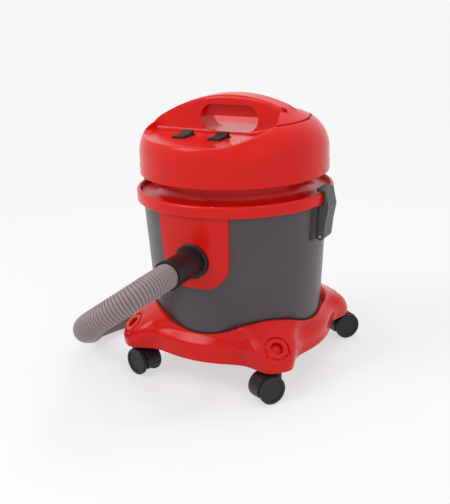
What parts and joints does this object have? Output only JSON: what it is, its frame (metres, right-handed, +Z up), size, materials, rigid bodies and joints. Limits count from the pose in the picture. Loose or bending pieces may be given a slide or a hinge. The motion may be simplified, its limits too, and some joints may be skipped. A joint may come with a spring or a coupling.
{
  "type": "shop vacuum",
  "caption": "Wet and dry vacuum: domed head with arch handle and rocker switches, tapered tank, side latches, ribbed hose, lobed base on twin-wheel casters",
  "frame": {"origin": "on the floor under the tank's axis, at the middle of the bounding box's bottom without the hose", "axes": "+Z up; -Y is the front, where the hose inlet is; the handle runs along X and the latches are at +X and -X"},
  "size_m": [0.5441, 0.8671, 0.497],
  "materials": {
    "red_plastic": "gloss",
    "drum_plastic": "satin",
    "black_plastic": "satin",
    "grey_plastic": "satin",
    "hose_plastic": "satin",
    "seal_rubber": "matte",
    "wheel_plastic": "satin",
    "steel": "satin",
    "sheet_steel": "satin",
    "copper": "satin",
    "foam": "matte",
    "filter_cloth": "matte",
    "white_plastic": "satin",
    "carbon": "matte"
  },
  "bodies": {
    "tank": {"tank_drum": "drum_plastic", "rim_collar": "red_plastic", "inlet_plate": "red_plastic", "inlet_socket": "black_plastic", "inlet_nut": "black_plastic", "inlet_deflector": "black_plastic", "hose_cuff": "black_plastic", "hose": "hose_plastic", "hose_connector": "black_plastic", "base_skirt": "red_plastic", "base_seal": "seal_rubber", "base_screws": "steel", "lobe_plugs": "red_plastic", "caster_sockets": "steel", "latch_bracket_left": "grey_plastic", "latch_bracket_right": "grey_plastic", "latch_pin_left": "steel", "latch_pin_right": "steel"},
    "head": {"head_gasket": "seal_rubber", "head_base": "red_plastic", "head_cover": "red_plastic", "cable_gland": "black_plastic", "motor_pan": "grey_plastic", "pan_screws": "steel", "cover_screws": "steel", "motor_gasket": "seal_rubber", "sound_foam": "foam", "fan_case": "sheet_steel", "motor_frame": "sheet_steel", "motor_field": "copper", "brush_holders": "carbon", "bearing_lower": "steel", "bearing_upper": "steel", "float_cage": "white_plastic", "filter": "filter_cloth", "filter_ring": "black_plastic", "switch_frame_left": "black_plastic", "switch_frame_right": "black_plastic"},
    "rotor": {"rotor": "copper", "motor_shaft": "steel", "fan": "sheet_steel"},
    "float": {"float_ball": "white_plastic"},
    "rocker_left": {"rocker_left": "black_plastic"},
    "rocker_right": {"rocker_right": "black_plastic"},
    "latch_left": {"latch_left": "grey_plastic"},
    "latch_right": {"latch_right": "grey_plastic"},
    "caster_front_left": {"caster_front_left_body": "black_plastic"},
    "wheels_front_left": {"caster_front_left_axle": "steel", "caster_front_left_wheels": "wheel_plastic"},
    "caster_front_right": {"caster_front_right_body": "black_plastic"},
    "wheels_front_right": {"caster_front_right_axle": "steel", "caster_front_right_wheels": "wheel_plastic"},
    "caster_rear_right": {"caster_rear_right_body": "black_plastic"},
    "wheels_rear_right": {"caster_rear_right_axle": "steel", "caster_rear_right_wheels": "wheel_plastic"},
    "caster_rear_left": {"caster_rear_left_body": "black_plastic"},
    "wheels_rear_left": {"caster_rear_left_axle": "steel", "caster_rear_left_wheels": "wheel_plastic"}
  },
  "joints": [
    {"name": "head_lift", "type": "slide", "parent": "tank", "child": "head", "axis": [0, 0, 1], "range_m": [0, 0.35]},
    {"name": "latch_left_swing", "type": "hinge", "parent": "tank", "child": "latch_left", "pos_m": [-0.17252, 0, 0.257], "axis": [0, -1, 0], "range_deg": [0, 45]},
    {"name": "latch_right_swing", "type": "hinge", "parent": "tank", "child": "latch_right", "pos_m": [0.17252, 0, 0.257], "axis": [0, 1, 0], "range_deg": [0, 45]},
    {"name": "rocker_left_press", "type": "hinge", "parent": "head", "child": "rocker_left", "pos_m": [-0.059, -0.078, 0.431], "axis": [-1, 0, 0], "range_deg": [0, 16]},
    {"name": "rocker_right_press", "type": "hinge", "parent": "head", "child": "rocker_right", "pos_m": [0.011, -0.078, 0.431], "axis": [-1, 0, 0], "range_deg": [0, 16]},
    {"name": "rotor_spin", "type": "hinge", "parent": "head", "child": "rotor", "pos_m": [0, 0, 0.37], "axis": [0, 0, 1], "continuous": true},
    {"name": "float_rise", "type": "slide", "parent": "head", "child": "float", "axis": [0, 0, 1], "range_m": [0, 0.0304]},
    {"name": "front_left_swivel", "type": "hinge", "parent": "tank", "child": "caster_front_left", "pos_m": [-0.14142, -0.14142, 0.06], "axis": [0, 0, 1], "continuous": true},
    {"name": "front_left_roll", "type": "hinge", "parent": "caster_front_left", "child": "wheels_front_left", "pos_m": [-0.12259, -0.14754, 0.0248], "axis": [0.309, 0.9511, 0], "continuous": true},
    {"name": "front_right_swivel", "type": "hinge", "parent": "tank", "child": "caster_front_right", "pos_m": [0.14142, -0.14142, 0.06], "axis": [0, 0, 1], "continuous": true},
    {"name": "front_right_roll", "type": "hinge", "parent": "caster_front_right", "child": "wheels_front_right", "pos_m": [0.13093, -0.15821, 0.0248], "axis": [0.848, -0.5299, 0], "continuous": true},
    {"name": "rear_right_swivel", "type": "hinge", "parent": "tank", "child": "caster_rear_right", "pos_m": [0.14142, 0.14142, 0.06], "axis": [0, 0, 1], "continuous": true},
    {"name": "rear_right_roll", "type": "hinge", "parent": "caster_rear_right", "child": "wheels_rear_right", "pos_m": [0.15441, 0.15637, 0.0248], "axis": [-0.7547, 0.6561, 0], "continuous": true},
    {"name": "rear_left_swivel", "type": "hinge", "parent": "tank", "child": "caster_rear_left", "pos_m": [-0.14142, 0.14142, 0.06], "axis": [0, 0, 1], "continuous": true},
    {"name": "rear_left_roll", "type": "hinge", "parent": "caster_rear_left", "child": "wheels_rear_left", "pos_m": [-0.16003, 0.14819, 0.0248], "axis": [-0.342, -0.9397, 0], "continuous": true}
  ]
}
